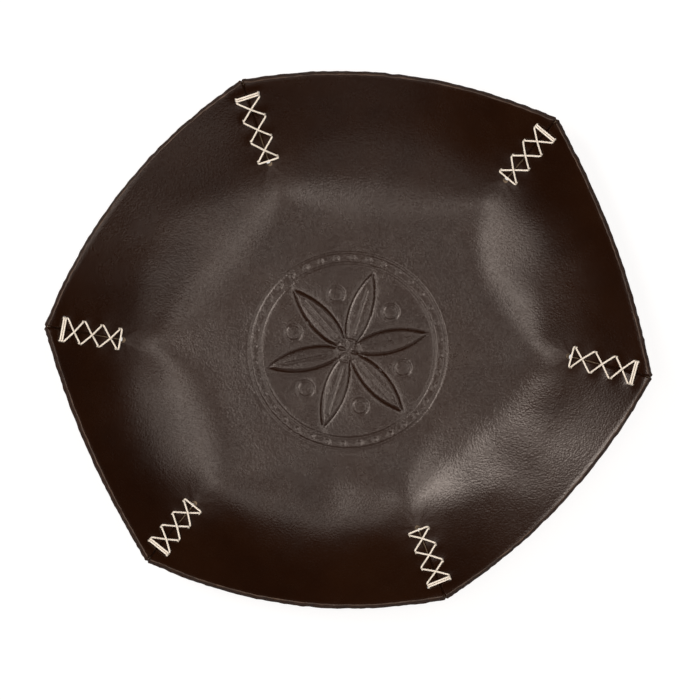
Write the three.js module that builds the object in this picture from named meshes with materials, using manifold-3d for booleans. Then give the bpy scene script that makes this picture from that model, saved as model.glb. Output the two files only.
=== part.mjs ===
// A six-cornered leather dice tray. One thick leather blank is dished by six
// corner darts, and one length of waxed thread laces each dart shut.
// Millimetres, +Z up. The origin lies under the middle of the floor, on the
// surface that the tray stands on, and +Y points to the rear.

import * as THREE from "three";
import { mergeVertices } from "three/addons/utils/BufferGeometryUtils.js";
import Module from "manifold-3d";

const wasm = await Module();
wasm.setup();

// Leather blank
const LEATHER_THICKNESS = 3.2;
const CORNER_REACH = 122.5; // middle of the floor to a rim corner, in plan
const CORNER_RISE = 26.2; // grain side of the floor up to a rim corner
const SIDE_DIP = 4.5; // how far the rim hangs below its corners midway along a side
const SIDE_BOW = 8.4; // how far the rim bows outward between two corners, in plan
const DART_LENGTH = 31; // rim corner to the end of its dart, in plan
const DART_GAP_AT_END = 1.1; // opening that is left beside the stop hole
const DART_GAP_AT_RIM = 0.4;
const STOP_HOLE_DIAMETER = 2.4;

// Bend from the floor into the walls
const BEND_AHEAD = 13; // how far before the end of its dart the leather starts to rise, in plan
const FOLD_TUCK = 16; // how far the bend line bows inward between two darts
const BEND_AT_DART = 0.3; // share of the wall's run that is curved, beside a dart

// Lacing
const THREAD_DIAMETER = 0.9;
const STITCH_PAIRS = 4;
const PAIR_WIDTH_AT_RIM = 9.8; // slot middle to slot middle, across the dart
const PAIR_WIDTH_AT_END = 8.6;
const RIM_TO_FIRST_PAIR = 6.4; // in plan
const LAST_PAIR_TO_DART_END = 1.4; // in plan
const RIM_BARS = 2; // straight turns at the rim
const STRAND_GAP = 0.55; // clear space between strands
const SLOT_CLEARANCE = 0.3; // clear space around the strands in a slot
const LEATHER_CLEARANCE = 0.3; // clear space under a strand that lies on the leather
const TURN_LENGTH = 0.6; // where a strand turns into its slot
const OVERPASS_SHARE = 0.2; // share of the way to the dart by which a strand has dipped under another
const TAIL_LENGTH = 5;

// The darts are closed by hand, so no two corners are alike. Azimuth and swing,
// the turn from a rim corner to the end of its dart, are in degrees. Reach,
// length, bow and tuck are shares of the lengths above, and bend is the curved
// share of a wall's run midway along its side. A side follows its corner
// anticlockwise, seen from above.
const CORNERS = [
  { name: "right", azimuth: -6.3, reach: 1.037, swing: 3, length: 1.048, bow: 0.6, tuck: 1.06, bend: 0.97 },
  { name: "rear_right", azimuth: 47, reach: 1.041, swing: -1, length: 0.984, bow: 1.27, tuck: 1, bend: 0.86 },
  { name: "rear_left", azimuth: 112, reach: 0.963, swing: 1.5, length: 1.097, bow: 1.31, tuck: 1.13, bend: 0.71 },
  { name: "left", azimuth: 176.8, reach: 1.029, swing: 2.2, length: 0.968, bow: 0.51, tuck: 1.06, bend: 1 },
  { name: "front_left", azimuth: 227.3, reach: 1.004, swing: -1.1, length: 0.919, bow: 1.26, tuck: 0.5, bend: 0.83 },
  { name: "front_right", azimuth: 291, reach: 0.927, swing: -0.3, length: 0.952, bow: 1.05, tuck: 1.08, bend: 0.7 },
];

// Facets
const SIDE_COLUMNS = 12;
const COLUMN_CROWDING = 0.6; // how far the columns draw toward the darts
const BEND_ROWS = 4; // from the bend line to the end of a dart
const DART_ROWS = 6; // from there to the rim
const ROW_CROWDING = 1.5; // power that draws those rows toward the end of the dart
const SLOT_END_FACETS = 2;
const STOP_HOLE_FACETS = 10;
const THREAD_FACETS = 6;
const CUTTER_MARGIN = 2; // how far a punch reaches past both faces of the leather

const leather = new THREE.MeshStandardMaterial({ color: 0x3b2a21, roughness: 0.42, metalness: 0 });
const thread = new THREE.MeshStandardMaterial({ color: 0xf0e4cd, roughness: 0.8, metalness: 0 });

const last = (list) => list[list.length - 1];
const wrap = (index) => (index + CORNERS.length) % CORNERS.length;

// Plan of the tray: each dart runs from the rim to its end, and the leather
// starts to rise at the bend a little further in.
function polar(azimuth, reach) {
  const angle = THREE.MathUtils.degToRad(azimuth);
  return new THREE.Vector2(Math.cos(angle), Math.sin(angle)).multiplyScalar(reach);
}

const seams = CORNERS.map((corner) => {
  const reach = CORNER_REACH * corner.reach;
  const rim = polar(corner.azimuth, reach);
  const end = polar(corner.azimuth + corner.swing, reach - DART_LENGTH * corner.length);
  const outward = rim.clone().sub(end).normalize();
  const across = new THREE.Vector2(-outward.y, outward.x);
  const bend = end.clone().addScaledVector(outward, -BEND_AHEAD);
  const run = rim.distanceTo(end);
  return { rim, end, bend, outward, across, run, wallRun: run + BEND_AHEAD };
});

// Plan of a side: its rim bows outward and its bend line bows inward
const sides = CORNERS.map((corner, index) => {
  const from = seams[index];
  const to = seams[wrap(index + 1)];
  const bowed = (a, b, bow) => {
    const outward = new THREE.Vector2(b.y - a.y, a.x - b.x).normalize();
    const steer = a.clone().lerp(b, 0.5).addScaledVector(outward, 2 * bow);
    return new THREE.QuadraticBezierCurve(a, steer, b);
  };
  const rim = bowed(from.rim, to.rim, SIDE_BOW * corner.bow);
  const fold = bowed(from.bend, to.bend, -FOLD_TUCK * corner.tuck);
  return { from, to, rim, fold, bend: corner.bend };
});

// Height along the wall's run, from 0 at the bend line to 1 at the rim: evenly
// curved over the given share of the run and straight from there on.
function wallProfile(run, share) {
  const left = 1 - Math.min(run / share, 1);
  return (run - (share * (1 - left ** 2)) / 2) / (1 - share / 2);
}

// The grain side of a wall: s runs along the side and t up from bend line to rim
function grainPoint(side, s, t) {
  const plan = side.fold.getPoint(s).lerp(side.rim.getPoint(s), t);
  const middle = 4 * s * (1 - s);
  const rise = CORNER_RISE - SIDE_DIP * middle;
  const share = THREE.MathUtils.lerp(BEND_AT_DART, side.bend, middle);
  return new THREE.Vector3(plan.x, plan.y, rise * wallProfile(Math.max(t, 0), share));
}

function grainSlopes(side, s, t) {
  const step = 1e-4;
  const slope = (ds, dt) => grainPoint(side, s + ds, t + dt).sub(grainPoint(side, s - ds, t - dt));
  return { alongSide: slope(step, 0).divideScalar(2 * step), upWall: slope(0, step).divideScalar(2 * step) };
}

function grainNormal(side, s, t) {
  const { alongSide, upWall } = grainSlopes(side, s, t);
  return upWall.cross(alongSide).normalize();
}

// Solids for cutting
function toSolid(geometry) {
  const bare = geometry.clone();
  bare.deleteAttribute("normal");
  bare.deleteAttribute("uv");
  const merged = mergeVertices(bare);
  const vertProperties = new Float32Array(merged.attributes.position.array);
  const triVerts = new Uint32Array(merged.index.array);
  return new wasm.Manifold(new wasm.Mesh({ numProp: 3, vertProperties, triVerts }));
}

function indexedGeometry(positions, indices) {
  const geometry = new THREE.BufferGeometry();
  geometry.setAttribute("position", new THREE.BufferAttribute(new Float32Array(positions), 3));
  geometry.setIndex(Array.from(indices));
  geometry.computeVertexNormals();
  return geometry;
}

function cutAway(geometry, cutters) {
  const cut = cutters.reduce((solid, cutter) => solid.subtract(toSolid(cutter)), toSolid(geometry));
  const mesh = cut.getMesh();
  return indexedGeometry(mesh.vertProperties, mesh.triVerts);
}

// The dished blank, with its darts drawn together but before any hole is punched
function dishedBlank() {
  const points = [];
  const faces = [];
  const wallRows = BEND_ROWS + DART_ROWS;

  const addPoint = (point) => points.push(point) - 1;
  const addQuad = (a, b, c, d) => faces.push(a, b, c, a, c, d);
  const addVertex = (grain, normal) => {
    const flesh = grain.clone().addScaledVector(normal, -LEATHER_THICKNESS);
    return { grain: addPoint(grain), flesh: addPoint(flesh) };
  };

  const columnShare = (i) => {
    const even = i / SIDE_COLUMNS;
    return even - (COLUMN_CROWDING * Math.sin(2 * Math.PI * even)) / (2 * Math.PI);
  };
  // Rows meet the end of the dart at both ends of a side
  const dartShare = (j) => Math.max((j - BEND_ROWS) / DART_ROWS, 0) ** ROW_CROWDING;
  const rowShare = (side, s, j) => {
    const dartEnd = THREE.MathUtils.lerp(BEND_AHEAD / side.from.wallRun, BEND_AHEAD / side.to.wallRun, s);
    return j < BEND_ROWS ? (dartEnd * j) / BEND_ROWS : THREE.MathUtils.lerp(dartEnd, 1, dartShare(j));
  };

  const innerVertex = (side, i, j) => {
    const s = columnShare(i);
    const t = rowShare(side, s, j);
    return addVertex(grainPoint(side, s, t), grainNormal(side, s, t));
  };
  // Before the end of a dart the walls on both sides of it are one
  const uncutVertex = (side, before, j) => {
    const t = rowShare(side, 0, j);
    const normal = grainNormal(side, 0, t).add(grainNormal(before, 1, t)).normalize();
    return addVertex(grainPoint(side, 0, t), normal);
  };
  const cutVertex = (side, s, j) => {
    const t = rowShare(side, s, j);
    const { across } = s === 0 ? side.from : side.to;
    const gap = THREE.MathUtils.lerp(DART_GAP_AT_END, DART_GAP_AT_RIM, dartShare(j));
    const shift = new THREE.Vector3(across.x, across.y, 0).multiplyScalar(s === 0 ? gap / 2 : -gap / 2);
    return addVertex(grainPoint(side, s, t).add(shift), grainNormal(side, s, t));
  };

  const rows = Array.from({ length: wallRows + 1 }, (_, j) => j);
  const uncut = sides.map((side, index) =>
    rows.slice(0, BEND_ROWS + 1).map((j) => uncutVertex(side, sides[wrap(index - 1)], j)),
  );
  const grids = sides.map((side, index) =>
    Array.from({ length: SIDE_COLUMNS + 1 }, (_, i) => {
      if (i > 0 && i < SIDE_COLUMNS) return rows.map((j) => innerVertex(side, i, j));
      const s = i === 0 ? 0 : 1;
      const dartEdge = rows.slice(BEND_ROWS + 1).map((j) => cutVertex(side, s, j));
      return [...uncut[wrap(index + s)], ...dartEdge];
    }),
  );

  for (const grid of grids) {
    for (let i = 0; i < SIDE_COLUMNS; i += 1) {
      for (let j = 0; j < wallRows; j += 1) {
        const corners = [grid[i][j], grid[i][j + 1], grid[i + 1][j + 1], grid[i + 1][j]];
        addQuad(...corners.map((vertex) => vertex.grain));
        addQuad(...corners.map((vertex) => vertex.flesh).reverse());
      }
      const here = last(grid[i]);
      const next = last(grid[i + 1]);
      addQuad(here.grain, here.flesh, next.flesh, next.grain);
    }
    for (let j = BEND_ROWS; j < wallRows; j += 1) {
      const first = [grid[0][j], grid[0][j + 1]];
      const final = [last(grid)[j], last(grid)[j + 1]];
      addQuad(first[0].grain, first[0].flesh, first[1].flesh, first[1].grain);
      addQuad(final[0].grain, final[1].grain, final[1].flesh, final[0].flesh);
    }
  }

  // The flat floor inside the bend lines
  const floor = grids.flatMap((grid) => grid.slice(0, SIDE_COLUMNS).map((column) => column[0]));
  const outline = floor.map((vertex) => new THREE.Vector2(points[vertex.grain].x, points[vertex.grain].y));
  for (const [a, b, c] of THREE.ShapeUtils.triangulateShape(outline, [])) {
    faces.push(floor[a].grain, floor[b].grain, floor[c].grain);
    faces.push(floor[c].flesh, floor[b].flesh, floor[a].flesh);
  }

  return indexedGeometry(points.flatMap((point) => point.toArray()), faces);
}

// Finds s and t of the wall point that lies over a point of the plan
function locate(side, plan, start) {
  const found = { ...start };
  for (let round = 0; round < 12; round += 1) {
    const here = grainPoint(side, found.s, found.t);
    const { alongSide, upWall } = grainSlopes(side, found.s, found.t);
    const error = plan.clone().sub(here);
    const area = alongSide.x * upWall.y - alongSide.y * upWall.x;
    found.s += (error.x * upWall.y - error.y * upWall.x) / area;
    found.t += (alongSide.x * error.y - alongSide.y * error.x) / area;
  }
  return found;
}

// A place beside a dart. Flank 0 is clockwise of the dart and flank 1 is the
// other one; along is measured in plan from the rim and across from the dart.
function flankPlace(corner, flank, along, across) {
  const seam = seams[corner];
  const plan = seam.rim.clone().addScaledVector(seam.outward, -along);
  plan.addScaledVector(seam.across, flank === 1 ? across : -across);
  const side = sides[flank === 1 ? corner : wrap(corner - 1)];
  const { s, t } = locate(side, plan, { s: flank === 1 ? 0 : 1, t: 1 - along / seam.wallRun });
  const normal = grainNormal(side, s, t);
  const seamLine = new THREE.Vector3(-seam.outward.x, -seam.outward.y, -CORNER_RISE / seam.wallRun);
  const inward = seamLine.addScaledVector(normal, -normal.dot(seamLine)).normalize();
  return { point: grainPoint(side, s, t), normal, inward };
}

// A place on the dart itself, with the direction midway between its two flanks
function seamPlace(corner, along) {
  const flanks = [0, 1].map((flank) => flankPlace(corner, flank, along, 0));
  const normal = flanks[0].normal.clone().add(flanks[1].normal).normalize();
  return { point: flanks[0].point, normal, flankNormal: flanks[0].normal };
}

// Stitch slots, from the pair at the rim to the pair at the dart's end
const strandPitch = THREAD_DIAMETER + STRAND_GAP;
const strandsIn = (pair) => (pair === 0 ? RIM_BARS + 1 : 2);

function slotPlace(corner, flank, pair) {
  const lacedRun = seams[corner].run - RIM_TO_FIRST_PAIR - LAST_PAIR_TO_DART_END;
  const share = pair / (STITCH_PAIRS - 1);
  const width = THREE.MathUtils.lerp(PAIR_WIDTH_AT_RIM, PAIR_WIDTH_AT_END, share);
  return flankPlace(corner, flank, RIM_TO_FIRST_PAIR + lacedRun * share, width / 2);
}

function slotCutter(corner, flank, pair) {
  const radius = THREAD_DIAMETER / 2 + SLOT_CLEARANCE;
  const reach = ((strandsIn(pair) - 1) * strandPitch) / 2;
  const outline = new THREE.Shape();
  outline.absarc(reach, 0, radius, -Math.PI / 2, Math.PI / 2);
  outline.absarc(-reach, 0, radius, Math.PI / 2, (3 * Math.PI) / 2);
  const punch = new THREE.ExtrudeGeometry(outline, {
    depth: LEATHER_THICKNESS + 2 * CUTTER_MARGIN,
    bevelEnabled: false,
    curveSegments: SLOT_END_FACETS,
  });
  punch.translate(0, 0, -LEATHER_THICKNESS - CUTTER_MARGIN);
  const { point, normal, inward } = slotPlace(corner, flank, pair);
  const turn = new THREE.Matrix4().makeBasis(inward, normal.clone().cross(inward), normal);
  return punch.applyMatrix4(turn.setPosition(point));
}

function stopHoleCutter(corner) {
  const radius = STOP_HOLE_DIAMETER / 2;
  const height = LEATHER_THICKNESS + 2 * CUTTER_MARGIN;
  const punch = new THREE.CylinderGeometry(radius, radius, height, STOP_HOLE_FACETS);
  punch.translate(0, -LEATHER_THICKNESS / 2, 0);
  const { point, normal } = seamPlace(corner, seams[corner].run);
  const turn = new THREE.Quaternion().setFromUnitVectors(new THREE.Vector3(0, 1, 0), normal);
  return punch.applyQuaternion(turn).translate(...point.toArray());
}

function leatherBody() {
  const flanks = [0, 1];
  const pairs = Array.from({ length: STITCH_PAIRS }, (_, pair) => pair);
  const cutters = CORNERS.flatMap((_, corner) => [
    stopHoleCutter(corner),
    ...flanks.flatMap((flank) => pairs.map((pair) => slotCutter(corner, flank, pair))),
  ]);
  return cutAway(dishedBlank(), cutters);
}

// The stitches of one dart, in sewing order. Each comes up on flank 0 and goes
// down on flank 1, and place counts the strands of a slot from the rim inward.
function stitchPlan() {
  const innerPair = STITCH_PAIRS - 1;
  const innerPlace = (pair) => strandsIn(pair) - 1;
  const stitches = [];
  for (let bar = 0; bar < RIM_BARS; bar += 1) {
    stitches.push({ up: [0, bar], down: [0, bar], overTop: false, overBack: false });
  }
  for (let pair = 0; pair < innerPair; pair += 1) {
    stitches.push({ up: [pair, innerPlace(pair)], down: [pair + 1, 0], overTop: false, overBack: false });
  }
  stitches.push({ up: [innerPair, 1], down: [innerPair, 1], overTop: false, overBack: true });
  for (let pair = innerPair; pair > 0; pair -= 1) {
    stitches.push({ up: [pair, 0], down: [pair - 1, innerPlace(pair - 1)], overTop: true, overBack: true });
  }
  return stitches;
}

// The centre line of one corner's thread
function threadRoute(corner) {
  const lift = THREAD_DIAMETER / 2 + LEATHER_CLEARANCE;
  const depth = LEATHER_THICKNESS + lift;
  const slots = [0, 1].map((flank) =>
    Array.from({ length: STITCH_PAIRS }, (_, pair) => slotPlace(corner, flank, pair)),
  );

  const strandPlace = (flank, [pair, place]) => {
    const { point, normal, inward } = slots[flank][pair];
    const offset = (place - (strandsIn(pair) - 1) / 2) * strandPitch;
    const centre = point.clone().addScaledVector(inward, offset);
    return { centre, normal, inward, at: (height) => centre.clone().addScaledVector(normal, height) };
  };
  const turnToward = (from, target) => {
    const direction = target.clone().sub(from).normalize();
    return from.clone().addScaledVector(direction, TURN_LENGTH);
  };

  // Under the dart's ridge, where the two flanks' undersides meet at an angle
  const ridgePlace = (down, up) => {
    const plan = down.centre.clone().add(up.centre).divideScalar(2);
    const along = seams[corner].rim.clone().sub(plan).dot(seams[corner].outward);
    const { point, normal, flankNormal } = seamPlace(corner, along);
    const mitre = 1 / normal.dot(flankNormal);
    return (below) => point.clone().addScaledVector(normal, -below * mitre);
  };

  const route = [];
  const overTop = (up, down) => {
    const normal = up.normal.clone().add(down.normal).normalize();
    return up.at(lift).lerp(down.at(lift), 0.5).addScaledVector(normal, strandPitch);
  };
  const acrossBack = (down, up, over) => {
    const ridge = ridgePlace(down, up);
    if (!over) {
      return [ridge(depth)];
    }
    const lower = depth + strandPitch;
    return [
      down.at(-lower).lerp(ridge(lower), OVERPASS_SHARE),
      ridge(lower),
      up.at(-lower).lerp(ridge(lower), OVERPASS_SHARE),
    ];
  };
  const tail = (place, side) => {
    const sideways = place.normal.clone().cross(place.inward).multiplyScalar(side);
    return place.at(-depth).addScaledVector(sideways, TAIL_LENGTH);
  };

  const stitches = stitchPlan().map((stitch) => ({
    ...stitch,
    up: strandPlace(0, stitch.up),
    down: strandPlace(1, stitch.down),
  }));
  route.push(tail(stitches[0].up, 1));
  stitches.forEach(({ up, down, overTop: raised, overBack }, index) => {
    route.push(turnToward(up.at(-depth), last(route)), up.at(TURN_LENGTH - depth), up.at(lift - TURN_LENGTH));
    const crossing = raised ? [overTop(up, down)] : [];
    route.push(turnToward(up.at(lift), crossing[0] ?? down.at(lift)), ...crossing);
    route.push(turnToward(down.at(lift), last(route)));
    route.push(down.at(lift - TURN_LENGTH), down.at(TURN_LENGTH - depth));
    const next = stitches[index + 1];
    const back = next ? acrossBack(down, next.up, overBack) : [tail(down, -1)];
    route.push(turnToward(down.at(-depth), back[0]), ...back);
  });
  return route;
}

// A closed tube along a line of points, with rings that don't twist
function tube(route, diameter, facets) {
  const points = [];
  const faces = [];
  const directions = route.slice(1).map((point, index) => point.clone().sub(route[index]).normalize());
  let heading = directions[0];
  let spoke = new THREE.Vector3(heading.y, heading.z, heading.x).cross(heading).normalize();

  route.forEach((centre, index) => {
    const before = directions[Math.max(index - 1, 0)];
    const after = directions[Math.min(index, directions.length - 1)];
    const next = before.clone().add(after).normalize();
    spoke = spoke.clone().applyQuaternion(new THREE.Quaternion().setFromUnitVectors(heading, next));
    heading = next;
    for (let facet = 0; facet < facets; facet += 1) {
      const angle = (2 * Math.PI * facet) / facets;
      const rim = spoke.clone().applyAxisAngle(heading, angle).multiplyScalar(diameter / 2);
      points.push(centre.clone().add(rim));
    }
  });

  for (let ring = 0; ring < route.length - 1; ring += 1) {
    for (let facet = 0; facet < facets; facet += 1) {
      const a = ring * facets + facet;
      const b = ring * facets + ((facet + 1) % facets);
      faces.push(a, b, b + facets, a, b + facets, a + facets);
    }
  }
  const lastRing = (route.length - 1) * facets;
  for (let facet = 1; facet < facets - 1; facet += 1) {
    faces.push(0, facet + 1, facet);
    faces.push(lastRing, lastRing + facet, lastRing + facet + 1);
  }
  return indexedGeometry(points.flatMap((point) => point.toArray()), faces);
}

// The least clear space between stretches of one thread
function leastSelfGap(route) {
  const spacing = 0.25;
  const ignoredLength = 3 * THREAD_DIAMETER;
  const samples = [];
  let travelled = 0;
  route.slice(1).forEach((point, index) => {
    const length = point.distanceTo(route[index]);
    const count = Math.ceil(length / spacing);
    for (let step = 0; step < count; step += 1) {
      const share = step / count;
      samples.push({ at: route[index].clone().lerp(point, share), travelled: travelled + share * length });
    }
    travelled += length;
  });
  let least = Infinity;
  samples.forEach((a, index) => {
    for (const b of samples.slice(index + 1)) {
      if (b.travelled - a.travelled > ignoredLength) least = Math.min(least, a.at.distanceTo(b.at));
    }
  });
  return least - THREAD_DIAMETER;
}

// Assembly, raised so that the underside of the floor lies on the surface
const tray = new THREE.Group();
tray.position.z = LEATHER_THICKNESS;

function addPiece(name, geometry, material) {
  const piece = new THREE.Mesh(geometry, material);
  piece.name = name;
  tray.add(piece);
}

addPiece("leather_body", leatherBody(), leather);
const routes = CORNERS.map((_, corner) => threadRoute(corner));
CORNERS.forEach(({ name }, corner) => {
  addPiece(`thread_${name}`, tube(routes[corner], THREAD_DIAMETER, THREAD_FACETS), thread);
});
console.log(`least gap of a thread to itself: ${Math.min(...routes.map(leastSelfGap)).toFixed(2)} mm`);

export default tray;
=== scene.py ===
# A six-cornered dice tray. One thick blank of dark brown leather is dished by
# six corner darts, and a length of waxed cream thread laces each dart shut.
# Metres, +Z up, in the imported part's frame.

import math
from collections import namedtuple

import bmesh
import bpy
import numpy as np
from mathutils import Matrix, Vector
from mathutils.geometry import delaunay_2d_cdt


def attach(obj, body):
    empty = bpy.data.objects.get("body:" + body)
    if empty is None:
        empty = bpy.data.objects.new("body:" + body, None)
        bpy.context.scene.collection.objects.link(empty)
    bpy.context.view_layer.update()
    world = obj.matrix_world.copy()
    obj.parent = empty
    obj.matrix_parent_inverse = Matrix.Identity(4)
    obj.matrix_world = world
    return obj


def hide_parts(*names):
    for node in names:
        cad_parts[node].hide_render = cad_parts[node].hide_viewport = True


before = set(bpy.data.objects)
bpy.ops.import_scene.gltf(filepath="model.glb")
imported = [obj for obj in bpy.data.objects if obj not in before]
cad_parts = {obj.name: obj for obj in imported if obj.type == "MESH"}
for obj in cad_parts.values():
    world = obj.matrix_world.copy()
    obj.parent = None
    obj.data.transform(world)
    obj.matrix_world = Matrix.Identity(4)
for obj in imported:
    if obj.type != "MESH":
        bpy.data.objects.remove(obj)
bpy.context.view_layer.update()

MM = 0.001

# Leather blank, as in the CAD part
LEATHER_THICKNESS = 3.2 * MM
CORNER_RISE = 26.2 * MM
SIDE_DIP = 4.5 * MM
STOP_HOLE_DIAMETER = 2.4 * MM
BEND_AHEAD = 13 * MM
BEND_AT_DART = 0.3
CORNER_REACH = 122.5 * MM
DART_LENGTH = 31 * MM
SIDE_BOW = 8.4 * MM
FOLD_TUCK = 16 * MM

# Gap of a dart at the grain, where the worn edges leave more than in the CAD part
DART_GAP_AT_END = 1.1 * MM
DART_GAP_AT_RIM = 0.7 * MM
DART_GAP_FALL = 2.6
TIP_FLARE = 0.7 * MM
TIP_SHARE = 0.965
GAP_REACH = 5 * MM

# Azimuth of a rim corner, its share of the reach, swing of its dart's end, its
# share of the dart's length, then for the side that follows anticlockwise its
# shares of the bow and of the tuck, and the share of its run that is curved
Corner = namedtuple("Corner", "name azimuth reach swing length bow tuck bend")
CORNERS = (
    Corner("right", -6.3, 1.037, 3.0, 1.048, 0.6, 1.06, 0.97),
    Corner("rear_right", 47.0, 1.041, -1.0, 0.984, 1.27, 1.0, 0.86),
    Corner("rear_left", 112.0, 0.963, 1.5, 1.097, 1.31, 1.13, 0.71),
    Corner("left", 176.8, 1.029, 2.2, 0.968, 0.51, 1.06, 1.0),
    Corner("front_left", 227.3, 1.004, -1.1, 0.919, 1.26, 0.5, 0.83),
    Corner("front_right", 291.0, 0.927, -0.3, 0.952, 1.05, 1.08, 0.7),
)
SIDES = len(CORNERS)

# Lacing
THREAD_DIAMETER = 0.9 * MM
STITCH_PAIRS = 4
PAIR_WIDTH_AT_RIM = 9.8 * MM
PAIR_WIDTH_AT_END = 8.6 * MM
RIM_TO_FIRST_PAIR = 6.4 * MM
LAST_PAIR_TO_DART_END = 1.4 * MM
RIM_BARS = 2
STRAND_PITCH = 0.98 * MM
SLOT_CLEARANCE = 0.12 * MM
STRAND_LIFT = 0.42 * MM
TAIL_LENGTH = 5 * MM
OVERPASS_SHARE = 0.2
UPPER_CROSSING = 0.73 * THREAD_DIAMETER
LOWER_CROSSING = -0.42 * THREAD_DIAMETER

# Mesh of the leather
COLUMNS = 112
COLUMN_CROWDING = 0.18
BEND_ROWS = 12
DART_ROWS = 30
ROWS = BEND_ROWS + DART_ROWS
ROW_CROWDING = 1.25
EASED_RUN = (10 * MM, 22 * MM)
GRAIN_ARRIS = 0.38 * MM
FLESH_ARRIS = 0.3 * MM
GRAIN, ARRIS, EDGE, RAW, FLESH = range(5)


def norm(vectors):
    return np.linalg.norm(vectors, axis=-1)


def unit(vector):
    return vector / np.linalg.norm(vector, axis=-1, keepdims=True)


def polar(azimuth, reach):
    angle = math.radians(azimuth)
    return reach * np.array((math.cos(angle), math.sin(angle)))


# Plan of the darts
RIM = [polar(c.azimuth, c.reach * CORNER_REACH) for c in CORNERS]
DART_END = [
    polar(c.azimuth + c.swing, c.reach * CORNER_REACH - c.length * DART_LENGTH) for c in CORNERS
]
OUTWARD = [unit(rim - end) for rim, end in zip(RIM, DART_END)]
ACROSS = [np.array((-o[1], o[0])) for o in OUTWARD]
BEND = [end - BEND_AHEAD * o for end, o in zip(DART_END, OUTWARD)]
DART_RUN = [np.linalg.norm(rim - end) for rim, end in zip(RIM, DART_END)]
WALL_RUN = [run + BEND_AHEAD for run in DART_RUN]
LACED_RUN = [run - RIM_TO_FIRST_PAIR - LAST_PAIR_TO_DART_END for run in DART_RUN]


# The grain side of the walls, without relief
def bowed(a, b, bow, s):
    chord = b - a
    outward = unit(np.array((chord[1], -chord[0])))
    steer = (a + b) / 2 + 2 * bow * outward
    s = s[..., None]
    return (1 - s) ** 2 * a + 2 * s * (1 - s) * steer + s ** 2 * b


def wall_profile(t, share):
    left = 1 - np.minimum(t / share, 1)
    return (t - share * (1 - left ** 2) / 2) / (1 - share / 2)


def grain_point(side, s, t):
    s, t = np.broadcast_arrays(np.asarray(s, float), np.asarray(t, float))
    after = (side + 1) % SIDES
    shape = CORNERS[side]
    rim = bowed(RIM[side], RIM[after], shape.bow * SIDE_BOW, s)
    fold = bowed(BEND[side], BEND[after], -shape.tuck * FOLD_TUCK, s)
    plan = fold + (rim - fold) * t[..., None]
    middle = 4 * s * (1 - s)
    rise = CORNER_RISE - SIDE_DIP * middle
    share = BEND_AT_DART + (shape.bend - BEND_AT_DART) * middle
    height = LEATHER_THICKNESS + rise * wall_profile(np.maximum(t, 0), share)
    return np.concatenate((plan, height[..., None]), axis=-1)


SLOPE_STEP = 1e-4  # of a wall's width and height


def grain_slopes(side, s, t):
    along = grain_point(side, s + SLOPE_STEP, t) - grain_point(side, s - SLOPE_STEP, t)
    up = grain_point(side, s, t + SLOPE_STEP) - grain_point(side, s, t - SLOPE_STEP)
    return along / (2 * SLOPE_STEP), up / (2 * SLOPE_STEP)


def grain_normal(side, s, t):
    along, up = grain_slopes(side, s, t)
    return unit(np.cross(up, along))


# Places beside a dart. Flank 0 lies clockwise of it and flank 1 anticlockwise.
Place = namedtuple("Place", "point normal inward")
NEWTON_STEPS = 12
ALONG_LIMITS = (-0.5, 1.5)
UP_LIMITS = (-1, 2)


def locate(side, plan, s, t):
    """Finds a wall's own coordinates of places in plan, from a first guess."""
    for _ in range(NEWTON_STEPS):
        x, y = np.moveaxis(plan - grain_point(side, s, t)[..., :2], -1, 0)
        along, up = grain_slopes(side, s, t)
        area = along[..., 0] * up[..., 1] - along[..., 1] * up[..., 0]
        s = np.clip(s + (x * up[..., 1] - y * up[..., 0]) / area, *ALONG_LIMITS)
        t = np.clip(t + (along[..., 0] * y - along[..., 1] * x) / area, *UP_LIMITS)
    return s, t


def flank_place(corner, flank, along, across):
    plan = RIM[corner] - along * OUTWARD[corner]
    plan = plan + (across if flank == 1 else -across) * ACROSS[corner]
    side = corner if flank == 1 else (corner - 1) % SIDES
    start = 0.0 if flank == 1 else 1.0
    s, t = locate(side, plan, start, 1 - along / WALL_RUN[corner])
    normal = grain_normal(side, s, t)
    line = np.append(-OUTWARD[corner], -CORNER_RISE / WALL_RUN[corner])
    inward = unit(line - normal * normal.dot(line))
    return Place(grain_point(side, s, t), normal, inward)


def seam_place(corner, along):
    """A point of the seam, the normal between its flanks, and the first flank's own."""
    flanks = [flank_place(corner, flank, along, 0.0) for flank in (0, 1)]
    normal = unit(flanks[0].normal + flanks[1].normal)
    return flanks[0].point, normal, flanks[0].normal


def strands_in(pair):
    return RIM_BARS + 1 if pair == 0 else 2


def slot_place(corner, flank, pair):
    share = pair / (STITCH_PAIRS - 1)
    width = PAIR_WIDTH_AT_RIM + (PAIR_WIDTH_AT_END - PAIR_WIDTH_AT_RIM) * share
    return flank_place(corner, flank, RIM_TO_FIRST_PAIR + LACED_RUN[corner] * share, width / 2)


SLOTS = [
    [[slot_place(corner, flank, pair) for pair in range(STITCH_PAIRS)] for flank in (0, 1)]
    for corner in range(SIDES)
]


# Rosette debossed in the floor: six petals in a double ring
ROSETTE_CENTRE = np.array((0.0, -3.0)) * MM
PETAL_RADIUS = 34.5 * MM
RING_RADII = (37.5 * MM, 42.0 * MM)
HUB_RADIUS = 4.8 * MM
EYE_RADIUS = 3.4 * MM
EYE_REACH = 24.5 * MM
RIB_REACH = (8.2 * MM, 27.3 * MM)
DOT_COUNT = 36
DOT_REACH = 39.75 * MM
DOT_RADIUS = 0.85 * MM
GROOVE_DEPTH = 0.2 * MM
GROOVE_HALF_WIDTH = 0.55 * MM
LIP_HEIGHT = 0.05 * MM
LIP_OFFSET = 2.2 * GROOVE_HALF_WIDTH
BEVEL_DEPTH = 0.3 * MM
BEVEL_WIDTH = 3.2 * MM
STEP_WIDTH = 0.26 * MM
FACET_SLOPE = 0.055
ROSETTE_TURN = 12.0
PETAL_COUNT = 6
PETAL_STEP = 360 / PETAL_COUNT
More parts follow.
